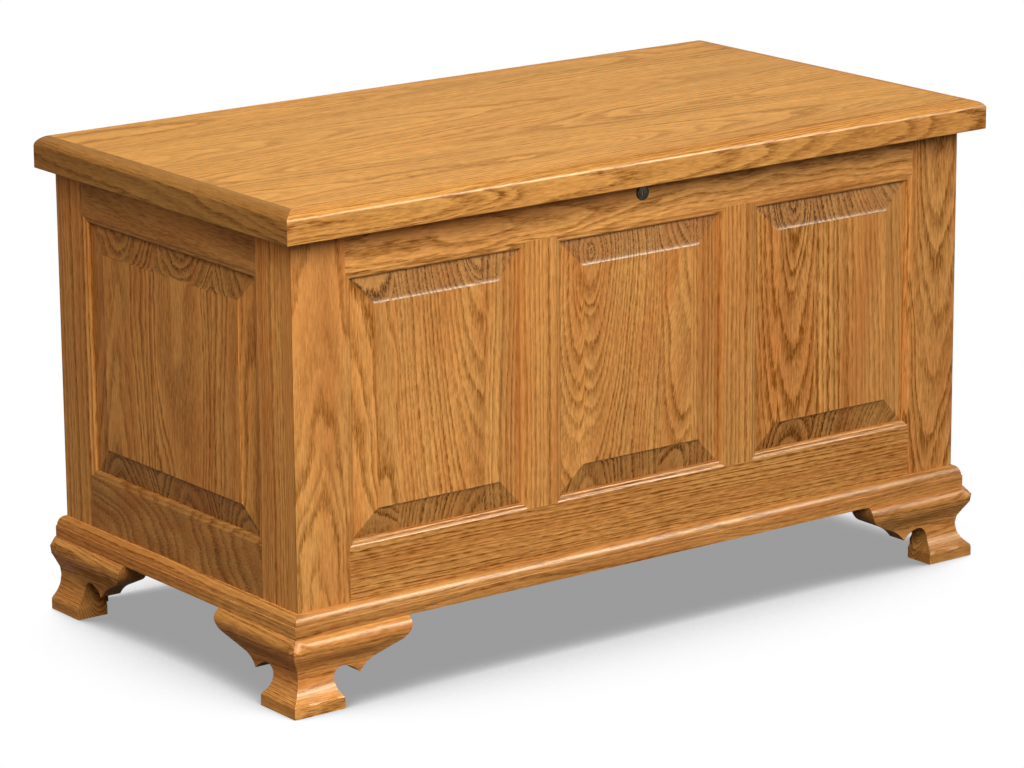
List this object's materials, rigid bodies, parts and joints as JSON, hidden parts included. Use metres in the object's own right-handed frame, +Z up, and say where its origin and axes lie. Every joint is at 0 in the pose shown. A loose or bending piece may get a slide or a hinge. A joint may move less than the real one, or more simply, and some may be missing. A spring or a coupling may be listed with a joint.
{
  "type": "blanket chest",
  "caption": "Frame-and-panel oak blanket chest with raised panels, an overhanging hinged lid, a lock, a base moulding and ogee bracket feet.",
  "frame": {"origin": "on the floor, under the centre of the chest's bounding box", "axes": "+X to the right of someone who faces the chest's front; +Y from its front to its back; +Z up"},
  "size_m": [1.078, 0.559, 0.61],
  "materials": {
    "oak_case": "red oak, golden stain, satin lacquer",
    "oak_lid": "red oak, golden stain, satin lacquer",
    "oak_secondary": "red oak, golden stain, thin lacquer",
    "cedar": "aromatic cedar, sanded bare",
    "hinge_brass": "satin brass plate",
    "stay_steel": "zinc plated steel",
    "lock_metal": "antique bronze plate"
  },
  "bodies": {
    "case": {"back_bottom_rail": "oak_secondary", "back_left_stile": "oak_secondary", "back_panel": "oak_secondary", "back_right_stile": "oak_secondary", "back_top_rail": "oak_secondary", "base_moulding_back": "oak_case", "base_moulding_front": "oak_case", "base_moulding_left": "oak_case", "base_moulding_right": "oak_case", "bottom_board": "cedar", "bottom_cleats": "oak_secondary", "foot_front_left_front": "oak_case", "foot_front_left_side": "oak_case", "foot_front_right_front": "oak_case", "foot_front_right_side": "oak_case", "foot_glue_blocks": "oak_secondary", "foot_rear_left_back": "oak_case", "foot_rear_left_side": "oak_case", "foot_rear_right_back": "oak_case", "foot_rear_right_side": "oak_case", "front_bottom_rail": "oak_case", "front_left_mullion": "oak_case", "front_left_panel": "oak_case", "front_left_stile": "oak_case", "front_middle_panel": "oak_case", "front_right_mullion": "oak_case", "front_right_panel": "oak_case", "front_right_stile": "oak_case", "front_top_rail": "oak_case", "hinge_case_leaf_left": "hinge_brass", "hinge_case_leaf_right": "hinge_brass", "hinge_pins": "hinge_brass", "left_bottom_rail": "oak_case", "left_front_stile": "oak_case", "left_panel": "oak_case", "left_rear_stile": "oak_case", "left_top_rail": "oak_case", "lock_cylinder": "lock_metal", "lock_nut": "lock_metal", "right_bottom_rail": "oak_case", "right_front_stile": "oak_case", "right_panel": "oak_case", "right_rear_stile": "oak_case", "right_top_rail": "oak_case", "stay_track": "stay_steel"},
    "lid": {"hinge_lid_leaf_left": "hinge_brass", "hinge_lid_leaf_right": "hinge_brass", "lid_battens": "oak_lid", "lid_moulding_front": "oak_lid", "lid_moulding_left": "oak_lid", "lid_moulding_right": "oak_lid", "lid_panel": "oak_lid", "lock_keeper": "lock_metal", "stay_bracket": "stay_steel"},
    "stay_arm": {"stay_arm": "stay_steel"},
    "lock_plug": {"lock_plug": "lock_metal", "lock_cam": "lock_metal"}
  },
  "joints": [
    {"name": "lid_hinge", "type": "hinge", "parent": "case", "child": "lid", "pos_m": [0, 0.2725, 0.585], "axis": [-1, 0, 0], "range_deg": [0, 77]},
    {"name": "stay_pivot", "type": "hinge", "parent": "lid", "child": "stay_arm", "pos_m": [-0.487, 0.07378, 0.5624], "axis": [-1, 0, 0], "range_deg": [-154, 0]},
    {"name": "lock_turn", "type": "hinge", "parent": "case", "child": "lock_plug", "pos_m": [0, -0.2505, 0.557], "axis": [0, -1, 0], "range_deg": [0, 90]}
  ],
  "couplings": [
    {"joint": "stay_pivot", "follows": "lid_hinge", "ratio": -2}
  ]
}
